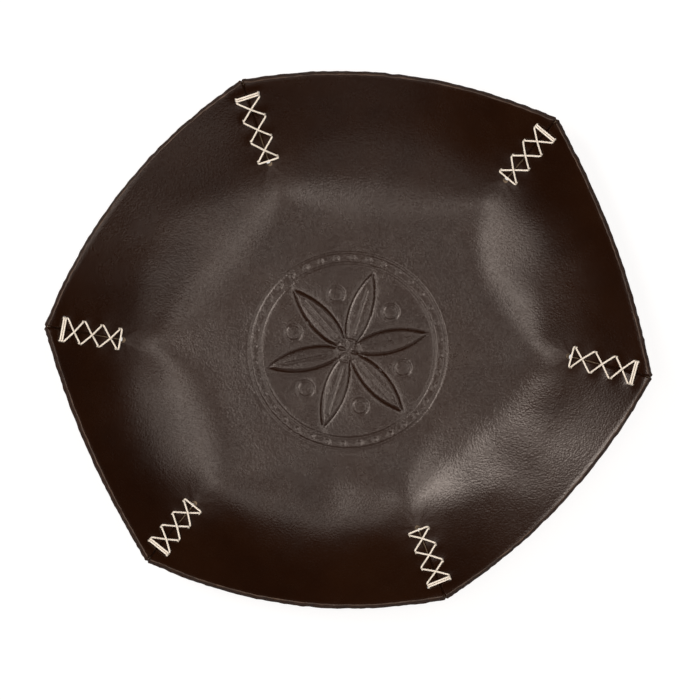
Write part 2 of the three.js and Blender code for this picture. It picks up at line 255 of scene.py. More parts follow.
PETAL_AZIMUTHS = [PETAL_STEP * petal + ROSETTE_TURN for petal in range(PETAL_COUNT)]

Arc = namedtuple("Arc", "centre radius start sweep")


def rosette_arcs():
    whole = 2 * math.pi
    hub = np.zeros(2)
    arcs = [Arc(hub, radius, 0.0, whole) for radius in (HUB_RADIUS, *RING_RADII)]
    for azimuth in PETAL_AZIMUTHS:
        start = math.radians(azimuth + 2 * PETAL_STEP)
        arcs.append(Arc(polar(azimuth, PETAL_RADIUS), PETAL_RADIUS, start, whole / 3))
        arcs.append(Arc(polar(azimuth + PETAL_STEP / 2, EYE_REACH), EYE_RADIUS, 0.0, whole))
    return arcs


def rosette_ribs():
    return [tuple(polar(azimuth, reach) for reach in RIB_REACH) for azimuth in PETAL_AZIMUTHS]


def rosette_dots():
    step = 360 / DOT_COUNT
    return [polar(step * (dot + 0.5) + ROSETTE_TURN, DOT_REACH) for dot in range(DOT_COUNT)]


def arc_distance(plan, arc):
    offset = plan - arc.centre
    angle = np.mod(np.arctan2(offset[..., 1], offset[..., 0]) - arc.start, 2 * math.pi)
    distance = np.abs(norm(offset) - arc.radius)
    if arc.sweep < 2 * math.pi:
        turns = [math.degrees(arc.start + turn) for turn in (0, arc.sweep)]
        ends = [arc.centre + polar(turn, arc.radius) for turn in turns]
        beyond = np.minimum(*(norm(plan - end) for end in ends))
        distance = np.where(angle > arc.sweep, beyond, distance)
    return distance


def line_distance(plan, line):
    start, end = line
    run = end - start
    share = np.clip((plan - start) @ run / run.dot(run), 0, 1)
    return norm(plan - start - share[..., None] * run)


def petal_depth(plan):
    """How far a point lies inside the nearest petal's outline; negative outside."""
    depths = []
    for azimuth in PETAL_AZIMUTHS:
        sides = [polar(azimuth + turn, PETAL_RADIUS) for turn in (-PETAL_STEP, PETAL_STEP)]
        depths.append(np.minimum(*(PETAL_RADIUS - norm(plan - side) for side in sides)))
    return np.maximum.reduce(depths)


def groove_distance(plan):
    distances = [arc_distance(plan, arc) for arc in rosette_arcs()]
    distances += [line_distance(plan, rib) for rib in rosette_ribs()]
    distances += [np.maximum(norm(plan - dot) - DOT_RADIUS / 2, 0) for dot in rosette_dots()]
    return np.minimum.reduce(distances)


def rosette_relief(plan):
    plan = plan - ROSETTE_CENTRE
    nearest = groove_distance(plan)
    groove = np.exp(-(nearest / GROOVE_HALF_WIDTH) ** 2)
    lip = np.exp(-((nearest - LIP_OFFSET) / GROOVE_HALF_WIDTH) ** 2)
    inside = petal_depth(plan)
    pressed = np.exp(np.minimum(inside, 0) / BEVEL_WIDTH)
    for run in (-inside, RING_RADII[0] - norm(plan)):
        pressed = pressed * np.clip(run / STEP_WIDTH, 0, 1)
    height = LIP_HEIGHT * lip * (1 - groove) + FACET_SLOPE * np.maximum(inside, 0)
    return height - GROOVE_DEPTH * groove - BEVEL_DEPTH * pressed


# The bends evened out, as heights on a lattice over the plan
EASING_STEP = 1.5 * MM
EASING_REACH = 0.14
EASING_WIDTH = 3.6 * MM
EASING_TAPS = 8
SECTOR_MARGIN = 15  # degrees
HALF_WAY_UP = 0.5
MOST_MISS = 0.001 * MM


def eased_lattice():
    count = round(EASING_REACH / EASING_STEP)
    ticks = np.arange(-count, count + 1) * EASING_STEP
    plan = np.stack(np.meshgrid(ticks, ticks, indexing="ij"), axis=-1)
    height = np.full(plan.shape[:2], LEATHER_THICKNESS)
    azimuth = np.degrees(np.arctan2(plan[..., 1], plan[..., 0]))
    for side in range(SIDES):
        sector = (CORNERS[(side + 1) % SIDES].azimuth - CORNERS[side].azimuth) % 360
        turn = (azimuth - CORNERS[side].azimuth + SECTOR_MARGIN) % 360 - SECTOR_MARGIN
        near = turn < sector + SECTOR_MARGIN
        s, t = locate(side, plan[near], turn[near] / sector, np.full(near.sum(), HALF_WAY_UP))
        point = grain_point(side, s, t)
        miss = norm(point[:, :2] - plan[near])
        on_wall = (s >= 0) & (s <= 1) & (t > 0) & (miss < MOST_MISS)
        height[near] = np.where(on_wall, point[:, 2], height[near])
    offsets = np.arange(-EASING_TAPS, EASING_TAPS + 1) * EASING_STEP
    kernel = np.exp(-(offsets / EASING_WIDTH) ** 2 / 2)
    for axis in (0, 1):
        height = np.apply_along_axis(np.convolve, axis, height, kernel / kernel.sum(), "same")
    return height


EASED = eased_lattice()


def spline_taps(share):
    """Weights of four neighbours in a cubic spline, by the share of the way between two."""
    square, cube = share ** 2, share ** 3
    return (
        (1 - share) ** 3 / 6,
        (3 * cube - 6 * square + 4) / 6,
        (-3 * cube + 3 * square + 3 * share + 1) / 6,
        cube / 6,
    )


def eased_height(plan):
    """A smooth height between the points of the lattice."""
    place = (plan + EASING_STEP * (len(EASED) // 2)) / EASING_STEP
    cell = np.floor(place).astype(int)
    taps = spline_taps(place - cell)
    x, y = np.moveaxis(cell - 1, -1, 0)
    height = np.zeros(plan.shape[:-1])
    for i, x_tap in enumerate(taps):
        for j, y_tap in enumerate(taps):
            height += x_tap[..., 0] * y_tap[..., 1] * EASED[x + i, y + j]
    return height


# Small relief of the hand-worked leather, as a height over the plan
WAVE_HEIGHT = 0.09 * MM
WAVE_COUNT = 26
WAVE_LENGTHS = (14 * MM, 60 * MM)
WAVE_SEED = 11
DIMPLE_DEPTH = 0.26 * MM
DIMPLE_RADIUS = 1.3 * MM
TUG_HEIGHT = 0.22 * MM
TUG_REACH = 5.5 * MM
TUG_PHASES = (-0.8, STITCH_PAIRS - 0.6)
STOP_SINK = 0.7 * MM
STOP_SINK_RADIUS = 2.6 * MM
PUCKER_HEIGHT = 0.05 * MM
PUCKER_REACH = 5.5 * MM
PUCKER_WIDTH = 3.2 * MM
PUCKERS_PER_TURN = 11
PUCKER_FAN = 0.8
PUCKER_TURN = 1.7

# Soft swells, and a hollow, that shaping by hand leaves: place, reach and height
# in millimetres
Swell = namedtuple("Swell", "x y reach height")
SWELLS = (
    Swell(60, 54, 11, 0.45),
    Swell(72, 37, 12, 0.7),
    Swell(103, 36, 12, -0.4),
    Swell(48, -61, 12, 0.45),
    Swell(66, -49, 14, 0.6),
    Swell(86, -34, 13, 0.4),
    Swell(14, -67, 11, 0.5),
    Swell(-6, -67, 11, 0.7),
    Swell(-64, -50, 14, 0.5),
    Swell(-70, 46, 16, 0.4),
)

Wave = namedtuple("Wave", "direction phase length")


def random_waves():
    draws = np.random.RandomState(WAVE_SEED)
    waves = []
    for length in draws.uniform(*WAVE_LENGTHS, WAVE_COUNT):
        direction = polar(draws.uniform(0, 360), 2 * math.pi / length)
        waves.append(Wave(direction, draws.uniform(0, 2 * math.pi), length))
    return waves


WAVES = random_waves()


def waviness(plan):
    height = np.zeros(plan.shape[:-1])
    for wave in WAVES:
        height += np.sin(plan @ wave.direction + wave.phase) * wave.length / WAVE_LENGTHS[1]
    return WAVE_HEIGHT * height / math.sqrt(WAVE_COUNT)


def swelling(plan):
    height = np.zeros(plan.shape[:-1])
    for swell in SWELLS:
        run = norm(plan / MM - (swell.x, swell.y))
        height += swell.height * MM * np.exp(-(run / swell.reach) ** 2)
    return height


def puckers(plan, corner, reach):
    """Fine folds that fan out from the inner end of a dart."""
    offset = plan - DART_END[corner]
    turn = np.arctan2(offset @ ACROSS[corner], -offset @ OUTWARD[corner])
    ring = np.exp(-((reach - PUCKER_REACH) / PUCKER_WIDTH) ** 2)
    fan = ring * np.maximum(np.cos(turn * PUCKER_FAN), 0)
    return fan * np.cos(PUCKERS_PER_TURN * turn + PUCKER_TURN * corner)


def tugs(plan, corner):
    """Low folds across a dart, between its stitches."""
    offset = plan - RIM[corner]
    along = -offset @ OUTWARD[corner]
    across = np.abs(offset @ ACROSS[corner])
    phase = (along - RIM_TO_FIRST_PAIR) * (STITCH_PAIRS - 1) / LACED_RUN[corner]
    near = np.exp(-(across / TUG_REACH) ** 2)
    near = near * (phase > TUG_PHASES[0]) * (phase < TUG_PHASES[1])
    return near * np.cos(2 * math.pi * phase)


def lacing_relief(plan):
    height = np.zeros(plan.shape[:-1])
    for corner in range(SIDES):
        height -= TUG_HEIGHT * tugs(plan, corner)
        stop = norm(plan - DART_END[corner])
        height -= STOP_SINK * np.exp(-(stop / STOP_SINK_RADIUS) ** 2)
        height += PUCKER_HEIGHT * puckers(plan, corner, stop)
        for flank in SLOTS[corner]:
            for slot in flank:
                run = norm(plan - slot.point[:2])
                height -= DIMPLE_DEPTH * np.exp(-(run / DIMPLE_RADIUS) ** 2)
    return height


def leather_relief(plan):
    return waviness(plan) + swelling(plan) + lacing_relief(plan)


# Mesh of the leather, made of wall grids, an edge band and a floor
def column_share(i):
    even = i / COLUMNS
    return even - COLUMN_CROWDING * np.sin(2 * math.pi * even) / (2 * math.pi)


def dart_share(j):
    return (np.maximum(j - BEND_ROWS, 0) / DART_ROWS) ** ROW_CROWDING


def row_share(side, s, j):
    ends = [BEND_AHEAD / WALL_RUN[corner % SIDES] for corner in (side, side + 1)]
    end = ends[0] + (ends[1] - ends[0]) * s
    return np.where(j < BEND_ROWS, end * j / BEND_ROWS, end + (1 - end) * dart_share(j))


def dart_gap(j):
    share = dart_share(j)
    flare = TIP_FLARE * np.maximum(share - TIP_SHARE, 0) / (1 - TIP_SHARE)
    fall = (DART_GAP_AT_END - DART_GAP_AT_RIM) * (1 - share) ** DART_GAP_FALL
    return DART_GAP_AT_RIM + fall + flare


def push_aside(grid, edge, shift):
    """Moves an edge column, and its neighbours less and less."""
    run = norm(grid[..., :2] - grid[edge, :, :2])
    grid += np.clip(1 - run / GAP_REACH, 0, 1)[..., None] * shift


def wall_grids():
    """Grain points and normals of each wall, with the darts drawn together."""
    i, j = np.meshgrid(np.arange(COLUMNS + 1), np.arange(ROWS + 1), indexing="ij")
    s = column_share(i)
    points, normals = [], []
    for side in range(SIDES):
        t = row_share(side, s, j)
        points.append(grain_point(side, s, t))
        normals.append(grain_normal(side, s, t))
    rows = np.arange(ROWS + 1)
    gap = dart_gap(rows)
    for corner in range(SIDES):
        before = corner - 1
        shift = np.zeros((ROWS + 1, 3))
        shift[:, :2] = (gap * (rows > BEND_ROWS))[:, None] * ACROSS[corner] / 2
        push_aside(points[corner], 0, shift)
        push_aside(points[before], -1, -shift)
        joined = slice(0, BEND_ROWS + 1)
        shared = unit(normals[corner][0, joined] + normals[before][-1, joined])
        normals[corner][0, joined] = shared
        normals[before][-1, joined] = shared
        points[before][-1, joined] = points[corner][0, joined]
    points, normals = np.array(points), np.array(normals)
    run = norm(points[..., :2] - points[:, :, :1, :2])
    ease = np.clip((EASED_RUN[1] - run) / (EASED_RUN[1] - EASED_RUN[0]), 0, 1)
    points[..., 2] += ease * (eased_height(points[..., :2]) - points[..., 2])
    return points, normals


def edge_loop():
    """The cut edge as (side, column, row): along a rim, into a dart and out again."""
    loop = []
    for side in range(SIDES):
        after = (side + 1) % SIDES
        loop += [(side, i, ROWS) for i in range(COLUMNS)]
        loop += [(side, COLUMNS, j) for j in range(ROWS, BEND_ROWS, -1)]
        loop += [(after, 0, j) for j in range(BEND_ROWS, ROWS)]
    return np.array(loop)


class MeshBuilder:
    """Collects points, and faces with their material."""

    def __init__(self):
        self.points = []
        self.faces = []
        self.materials = []

    def add_points(self, points):
        first = len(self.points)
        self.points.extend(map(tuple, np.reshape(points, (-1, 3))))
        return np.arange(first, len(self.points)).reshape(np.shape(points)[:-1])

    def move_points(self, ids, points):
        for number, point in zip(np.ravel(ids), np.reshape(points, (-1, 3))):
            self.points[number] = tuple(point)

    def add_face(self, face, material):
        self.faces.append(tuple(int(point) for point in face))
        self.materials.append(material)

    def add_grid(self, ids, material, flip=False):
        a, b, c, d = ids[:-1, :-1], ids[:-1, 1:], ids[1:, 1:], ids[1:, :-1]
        quads = np.stack((a, d, c, b) if flip else (a, b, c, d), axis=-1).reshape(-1, 4)
        for quad in quads:
            self.add_face(quad, material)

    def mesh(self, name, materials):
        mesh = bpy.data.meshes.new(name)
        mesh.from_pydata(self.points, [], self.faces)
        mesh.polygons.foreach_set("material_index", self.materials)
        for material in materials:
            mesh.materials.append(material)
        mesh.shade_smooth()
        mesh.update()
        return mesh


def thinned(points, spacing):
    """Drops points that lie closer than spacing to one already taken."""
    kept = {}
    for point in points:
        cell = tuple(np.floor(point / spacing).astype(int))
        near = [(cell[0] + x, cell[1] + y) for x in (-1, 0, 1) for y in (-1, 0, 1)]
        if all(n not in kept or np.hypot(*(kept[n] - point)) >= spacing for n in near):
            kept[cell] = point
    return list(kept.values())


CDT_INSIDE = 1  # keeps only the triangles inside the ring
CDT_TOLERANCE = 1e-6


def fill_ring(builder, ring_ids, ring, inner, material, height, flip=False):
    """Fills a ring of the plan with triangles over the given inner points."""
    plan = [Vector(point / MM) for point in (*ring[:, :2], *inner)]
    count = len(ring)
    edges = [(i, (i + 1) % count) for i in range(count)]
    filled = delaunay_2d_cdt(plan, edges, [], CDT_INSIDE, CDT_TOLERANCE)
    verts, _, faces, sources, _, _ = filled
    where = np.array([tuple(v) for v in verts]) * MM
    points = np.concatenate((where, height(where)[:, None]), axis=1)
    ids = [
        ring_ids[source[0]] if source and source[0] < count else builder.add_points(point)
        for source, point in zip(sources, points)
    ]
    for face in faces:
        corners = [ids[i] for i in face]
        builder.add_face(corners[::-1] if flip else corners, material)


FLOOR_SPACING = 2.0 * MM
FLESH_SPACING = 6.0 * MM
LATTICE_REACH = 0.1
LATTICE_MARGIN = 0.6  # of the spacing
LATTICE_ROW = math.sqrt(0.75)  # height of an equilateral triangle
GROOVE_STEP = 0.5 * MM
GROOVE_OFFSETS = (0.0, 0.26, -0.26, 0.52, -0.52, 0.82, -0.82, 1.2, -1.2)  # in millimetres
DOT_RINGS = (0.4 * MM, 0.8 * MM, 1.25 * MM)
DOT_AZIMUTHS = range(0, 360, 30)
GROOVE_CLEARANCE = 1.7 * MM
LEAST_SPACING = 0.22 * MM


def rosette_points():
    """Points along the grooves and beside them, where the floor needs a fine mesh."""
    points = []
    for offset in GROOVE_OFFSETS:
        for arc in rosette_arcs():
            radius = arc.radius + offset * MM
            count = math.ceil(arc.radius * arc.sweep / GROOVE_STEP)
            turns = arc.start + arc.sweep * np.arange(count) / count
            points += [arc.centre + radius * np.array((math.cos(a), math.sin(a))) for a in turns]
        for start, end in rosette_ribs():
            side = unit(np.array((start[1] - end[1], end[0] - start[0]))) * offset * MM
            count = math.ceil(np.linalg.norm(end - start) / GROOVE_STEP)
            points += [start + (end - start) * step / count + side for step in range(count + 1)]
    for dot in rosette_dots():
        points.append(dot)
        points += [dot + polar(turn, reach) for turn in DOT_AZIMUTHS for reach in DOT_RINGS]
    return [point + ROSETTE_CENTRE for point in points]


def plan_lattice(spacing):
    count = int(LATTICE_REACH / spacing)
    return np.array([
        spacing * np.array((x + 0.5 * (y % 2), y * LATTICE_ROW))
        for y in range(-count, count + 1)
        for x in range(-count, count + 1)
    ])


def inside_ring(points, ring, margin):
    """Keeps the points that lie inside a star-shaped ring by at least the margin."""
    angles = np.arctan2(ring[:, 1], ring[:, 0])
    order = np.argsort(angles)
    bearings = np.arctan2(points[:, 1], points[:, 0])
    limit = np.interp(bearings, angles[order], norm(ring[order, :2]), period=2 * math.pi)
    return points[norm(points) < limit - margin]


def floor_points(ring):
    """Points of the grain side inside the bends, close together around the rosette."""
    lattice = inside_ring(plan_lattice(FLOOR_SPACING), ring, FLOOR_SPACING * LATTICE_MARGIN)
    clear = groove_distance(lattice - ROSETTE_CENTRE) > GROOVE_CLEARANCE
    return thinned(rosette_points(), LEAST_SPACING) + list(lattice[clear])


def floor_height(plan):
    return eased_height(plan) + leather_relief(plan) + rosette_relief(plan)


def underside_height(plan):
    return np.zeros(len(plan))


# Cut edge around the rim and through the darts
NICK_HEIGHT = 0.2 * MM
NICK_STEPS = 2
NICK_SEED = 30
NICKS_IN_DARTS = 0.2
RAGGED_HEIGHT = 0.2 * MM
RAGGED_STEPS = 3
RAGGED_SEED = 29
ARRIS_ROWS = 3
RAW_SHARE = 0.4  # of a dart, from its inner end, that shows raw leather in the cut

# Rows down the band: inset from the cut edge, depth under the grain and share of
# the nicks. The first rows round the arris off in thirds of a quarter turn.
BandRow = namedtuple("BandRow", "inset depth nicks")
LESS_ROUND, MORE_ROUND = 0.134 * GRAIN_ARRIS, 0.5 * GRAIN_ARRIS
BULGE = 0.04 * MM
BULGE_FROM, BULGE_AT = 0.36 * LEATHER_THICKNESS, 0.62 * LEATHER_THICKNESS
BAND = (
    BandRow(MORE_ROUND, LESS_ROUND, 0.15),
    BandRow(LESS_ROUND, MORE_ROUND, 0.5),
    BandRow(0.0, GRAIN_ARRIS, 0.9),
    BandRow(0.0, BULGE_FROM, 1.0),
    BandRow(-BULGE, BULGE_AT, 1.0),
    BandRow(0.0, LEATHER_THICKNESS - FLESH_ARRIS, 1.0),
)

# Rows of the band where the cut edges meet, with the share of the gap that is
# left, and a lean to one side that keeps daylight out of the closed dart
Pressed = namedtuple("Pressed", "share lean")
PRESSED_ROWS = {
    2: Pressed(0.45, 0.0),
    3: Pressed(0.05, -0.08 * MM),
    4: Pressed(0.05, 0.08 * MM),
}


def press_together(ring, loop, pressed):
    """Closes the darts below the grain, where the two cut edges meet."""
    for number, (side, column, row) in enumerate(loop):
        if row > BEND_ROWS and column in (0, COLUMNS):
            corner = side if column == 0 else (side + 1) % SIDES
            half_gap = dart_gap(row) / 2 * (1 if column == 0 else -1)
            offset = (ring[number, :2] - RIM[corner]) @ ACROSS[corner]
            ring[number, :2] += (pressed.share * half_gap + pressed.lean - offset) * ACROSS[corner]


def uneven(count, seed, steps):
    """Uneven offsets along a closed loop, evened out over a number of steps."""
    draws = np.random.RandomState(seed).uniform(-1, 1, count)
    even = np.convolve(np.tile(draws, 3), np.hanning(steps + 2), "same")[count:2 * count]
    return even / np.abs(even).max()


Edge = namedtuple("Edge", "loop at points normals outward is_rim")


def cut_edge(points, normals):
    """The cut edge, ragged along the rim, with the directions out of it."""
    loop = edge_loop()
    at = tuple(loop.T)
    even = points[at]
    tangent = unit(np.roll(even, -1, axis=0) - np.roll(even, 1, axis=0))
    outward = unit(np.cross(tangent, normals[at]))
    is_rim = loop[:, 2] == ROWS
    ragged = uneven(len(loop), RAGGED_SEED, RAGGED_STEPS) * RAGGED_HEIGHT * is_rim
    return Edge(loop, at, even + ragged[:, None] * outward, normals[at], outward, is_rim)


def band_rings(edge, lift):
    """Rings of points down the cut edge, below its grain side."""
    nicked = np.where(edge.is_rim, 1.0, NICKS_IN_DARTS)
    rings = []
    for number, row in enumerate(BAND):
        nicks = uneven(len(edge.loop), NICK_SEED + number, NICK_STEPS)
        out = NICK_HEIGHT * row.nicks * nicked * nicks - row.inset
        fade = 1 - row.depth / LEATHER_THICKNESS
        ring = edge.points + out[:, None] * edge.outward - row.depth * edge.normals + fade * lift
        if number in PRESSED_ROWS:
            press_together(ring, edge.loop, PRESSED_ROWS[number])
        rings.append(ring)
    return rings


def band_material(row, along_rim, share):
    if along_rim:
        return ARRIS if row < ARRIS_ROWS else EDGE
    if row < ARRIS_ROWS:
        return GRAIN
    return RAW if share < RAW_SHARE or share > TIP_SHARE else EDGE


def add_band(builder, edge, rings):
    count = len(edge.loop)
    for row, (upper, lower) in enumerate(zip(rings, rings[1:])):
        for here in range(count):
            after = (here + 1) % count
            along_rim = edge.is_rim[here] and edge.is_rim[after]
            material = band_material(row, along_rim, dart_share(edge.loop[here, 2]))
            builder.add_face((upper[here], lower[here], lower[after], upper[after]), material)


def add_flesh_arris(builder, ring, flesh_ring):
    """Joins the band to the flesh side, which has half as many points."""
    count = len(flesh_ring)
    for here in range(count):
        a, b, c = (ring[(2 * here + step) % len(ring)] for step in range(3))
        d, e = flesh_ring[here], flesh_ring[(here + 1) % count]
        for face in ((a, d, b), (b, d, e), (b, e, c)):
            builder.add_face(face, FLESH)


def join_walls(grids, rows):
    """Makes neighbouring walls one up to the inner end of the dart between them."""
    for corner in range(SIDES):
        grids[corner - 1, -1, :rows + 1] = grids[corner, 0, :rows + 1]


def leather_mesh(materials):
    builder = MeshBuilder()
    points, normals = wall_grids()

    # Grain side, with the rosette in its floor
    ids = builder.add_points(points)
    join_walls(ids, BEND_ROWS)
    for wall in ids:
        builder.add_grid(wall, GRAIN)
    ring = points[:, :-1, 0].reshape(-1, 3)
    ring_ids = ids[:, :-1, 0].reshape(-1)
    fill_ring(builder, ring_ids, ring, floor_points(ring), GRAIN, floor_height)
    edge = cut_edge(points, normals)
    points[edge.at] = edge.points
    relief = leather_relief(points[..., :2])
    grain = points + relief[..., None] * normals
    grain[edge.at] -= GRAIN_ARRIS * edge.outward
    join_walls(grain, BEND_ROWS)
    builder.move_points(ids, grain)

    # Flesh side of the walls, at half the resolution
    flesh = points - LEATHER_THICKNESS * normals
    flesh[edge.at] -= FLESH_ARRIS * edge.outward
    coarse = builder.add_points(flesh[:, ::2, ::2])
    join_walls(coarse, BEND_ROWS // 2)
    for wall in coarse:
        builder.add_grid(wall, FLESH, flip=True)

    # Band between the two sides
    lift = relief[edge.at][:, None] * edge.normals
    rings = [ids[edge.at]]
    rings += [builder.add_points(row) for row in band_rings(edge, lift)]
    add_band(builder, edge, rings)
    side, column, row = edge.loop[::2].T
    add_flesh_arris(builder, rings[-1], coarse[side, column // 2, row // 2])

    # Flesh side of the floor
    ring = flesh[:, :-1:2, 0].reshape(-1, 3)
    ring_ids = coarse[:, :-1, 0].reshape(-1)
    inner = inside_ring(plan_lattice(FLESH_SPACING), ring, FLESH_SPACING * LATTICE_MARGIN)
    fill_ring(builder, ring_ids, ring, inner, FLESH, underside_height, flip=True)
    return builder.mesh("leather_tray", materials)


# Holes punched through the leather
CUTTER_MARGIN = 2 * MM
SLOT_END_FACETS = 8
STOP_HOLE_FACETS = 28


def add_punch(builder, outline, place):
    """A closed prism through the leather, square to it."""
    across = np.cross(place.normal, place.inward)
    loops = []
    for height in (-LEATHER_THICKNESS - CUTTER_MARGIN, CUTTER_MARGIN):
        centre = place.point
        ring = [centre + place.inward * x + across * y + place.normal * height for x, y in outline]
        loops.append(builder.add_points(np.array(ring)))
    lower, upper = loops
    count = len(outline)
    for i in range(count):
        after = (i + 1) % count
        builder.add_face((lower[i], lower[after], upper[after], upper[i]), RAW)
    builder.add_face(lower[::-1], RAW)
    builder.add_face(upper, RAW)


def slot_outline(pair):
    radius = THREAD_DIAMETER / 2 + SLOT_CLEARANCE
    reach = (strands_in(pair) - 1) * STRAND_PITCH / 2
    outline = []
    for end, start in ((reach, -90), (-reach, 90)):
        for step in range(SLOT_END_FACETS + 1):
            outline.append(polar(start + 180 * step / SLOT_END_FACETS, radius) + np.array((end, 0)))
    return outline


def punch_mesh(materials):
    builder = MeshBuilder()
    for corner in range(SIDES):
        for flank in SLOTS[corner]:
            for pair, place in enumerate(flank):
                add_punch(builder, slot_outline(pair), place)
        point, normal, _ = seam_place(corner, DART_RUN[corner])
        inward = unit(np.append(-OUTWARD[corner], 0) + normal * normal[:2].dot(OUTWARD[corner]))
        steps = np.arange(STOP_HOLE_FACETS) * 360 / STOP_HOLE_FACETS
        outline = [polar(step, STOP_HOLE_DIAMETER / 2) for step in steps]
        add_punch(builder, outline, Place(point, normal, inward))
    return builder.mesh("punches", materials)


SHARP_ANGLE = math.radians(48)
WELD_DISTANCE = 0.001 * MM
WORKED_REACH = 10 * MM


def link_object(name, mesh):
    piece = bpy.data.objects.new(name, mesh)
    bpy.context.scene.collection.objects.link(piece)
    return piece


def mark_worked(mesh):
    """Marks the leather around the darts' inner ends, where drawing them shut dulls it."""
    points = np.empty(3 * len(mesh.vertices))
    mesh.vertices.foreach_get("co", points)
    plan = points.reshape(-1, 3)[:, :2]
    run = np.minimum.reduce([norm(plan - end) for end in DART_END])
    worked = mesh.attributes.new("worked", "FLOAT", "POINT")
    worked.data.foreach_set("value", np.exp(-(run / WORKED_REACH) ** 2))


def keep_main_shell(mesh):
    """Drops the slivers that cutting leaves beside the main shell."""
    work = bmesh.new()
    work.from_mesh(mesh)
    bmesh.ops.remove_doubles(work, verts=work.verts[:], dist=WELD_DISTANCE)
    bmesh.ops.dissolve_degenerate(work, dist=WELD_DISTANCE, edges=work.edges[:])
    bmesh.ops.triangulate(work, faces=work.faces[:])
    start = max(work.faces, key=lambda face: face.calc_area())
    reached = {start}
    waiting = [start]
    while waiting:
        for edge in waiting.pop().edges:
            if len(edge.link_faces) == 2:
                fresh = [face for face in edge.link_faces if face not in reached]
                reached.update(fresh)
                waiting += fresh
    loose = [face for face in work.faces if face not in reached]
    bmesh.ops.delete(work, geom=loose, context="FACES")
    work.to_mesh(mesh)
    work.free()


def leather_piece(materials):
    piece = link_object("leather_tray", leather_mesh(materials))
    punches = link_object("punches", punch_mesh(materials))
    cut = piece.modifiers.new("punched holes", "BOOLEAN")
    cut.operation = "DIFFERENCE"
    cut.solver = "MANIFOLD"
    cut.object = punches
    bpy.context.view_layer.update()
    depsgraph = bpy.context.evaluated_depsgraph_get()
    punched = bpy.data.meshes.new_from_object(piece.evaluated_get(depsgraph))
    piece.modifiers.clear()
    piece.data = punched
    bpy.data.objects.remove(punches)
    keep_main_shell(punched)
    punched.shade_smooth()
    punched.set_sharp_from_angle(angle=SHARP_ANGLE)
    mark_worked(punched)
    return piece


# Threads
THREAD_DEPTH = LEATHER_THICKNESS + THREAD_DIAMETER / 2
Strand = namedtuple("Strand", "up down over_top over_back")


def stitch_plan():
    """Stitches in sewing order, as (pair, place in the slot) on each flank."""
    inner = STITCH_PAIRS - 1
    plan = [Strand((0, bar), (0, bar), False, False) for bar in range(RIM_BARS)]
    plan += [Strand((p, strands_in(p) - 1), (p + 1, 0), False, False) for p in range(inner)]
    plan.append(Strand((inner, 1), (inner, 1), False, True))
    for pair in range(inner, 0, -1):
        plan.append(Strand((pair, 0), (pair - 1, strands_in(pair - 1) - 1), True, True))
    return plan


def strand_place(corner, flank, spot):
    pair, place = spot
    slot = SLOTS[corner][flank][pair]
    offset = (place - (strands_in(pair) - 1) / 2) * STRAND_PITCH
    return Place(slot.point + slot.inward * offset, slot.normal, slot.inward)


def raised(place, height):
    return place.point + place.normal * height


def crossing_point(up, down, over_top):
    """The middle of a slanting stitch, where two of them cross."""
    middle = (raised(up, STRAND_LIFT) + raised(down, STRAND_LIFT)) / 2
    return middle + unit(up.normal + down.normal) * (UPPER_CROSSING if over_top else LOWER_CROSSING)


def ridge_point(corner, down, up, below):
    """The point under the seam on the way from one slot to the next."""
    plan = (down.point + up.point)[:2] / 2
    point, normal, flank_normal = seam_place(corner, (RIM[corner] - plan) @ OUTWARD[corner])
    return point - normal * below / normal.dot(flank_normal)


def way_back(corner, down, up, over_back):
    """Points on the flesh side from one slot to the next."""
    below = THREAD_DEPTH + (THREAD_DIAMETER if over_back else 0)
    ridge = ridge_point(corner, down, up, below)
    if not over_back:
        return [ridge]
    start, end = raised(down, -below), raised(up, -below)
    return [start + OVERPASS_SHARE * (ridge - start), ridge, end + OVERPASS_SHARE * (ridge - end)]


def tail_end(place, side):
    tail = side * np.cross(place.normal, place.inward) * TAIL_LENGTH
    return raised(place, -THREAD_DEPTH) + tail


def thread_route(corner):
    plan = stitch_plan()
    ups = [strand_place(corner, 0, strand.up) for strand in plan]
    downs = [strand_place(corner, 1, strand.down) for strand in plan]
    route = [tail_end(ups[0], 1)]
    for number, (up, down, strand) in enumerate(zip(ups, downs, plan)):
        if number > 0:
            route += way_back(corner, downs[number - 1], up, plan[number - 1].over_back)
        route += [raised(up, -THREAD_DEPTH), raised(up, STRAND_LIFT)]
        if strand.up[0] != strand.down[0]:
            route.append(crossing_point(up, down, strand.over_top))
        route += [raised(down, STRAND_LIFT), raised(down, -THREAD_DEPTH)]
    route.append(tail_end(downs[-1], -1))
    return np.array(route)


ROUTE_STEP = 0.08 * MM
ROUTE_SOFTNESS = 0.3 * MM
SOFT_REACH = 3 * ROUTE_SOFTNESS
RING_STEP = 0.3 * MM
THREAD_FACETS = 12
PLY_COUNT = 3
PLY_PITCH = 2.6 * MM
PLY_RELIEF = 0.09
FIRST_SPOKE_ASIDE = (0.3, 0.2, 0.9)  # any direction that no thread starts along


def resampled(points, step):
    lengths = norm(np.diff(points, axis=0))
    travelled = np.concatenate(([0], np.cumsum(lengths)))
    at = np.linspace(0, travelled[-1], math.ceil(travelled[-1] / step) + 1)
    return np.stack([np.interp(at, travelled, points[:, axis]) for axis in range(3)], axis=1)


def softened(points):
    """Rounds the turns of a route as a thread does."""
    fine = resampled(points, ROUTE_STEP)
    reach = math.ceil(SOFT_REACH / ROUTE_STEP)
    window = np.exp(-0.5 * (np.arange(-reach, reach + 1) * ROUTE_STEP / ROUTE_SOFTNESS) ** 2)
    window /= window.sum()
    padded = np.concatenate((np.repeat(fine[:1], reach, 0), fine, np.repeat(fine[-1:], reach, 0)))
    soft = np.stack([np.convolve(padded[:, axis], window, "valid") for axis in range(3)], axis=1)
    return resampled(soft, RING_STEP)


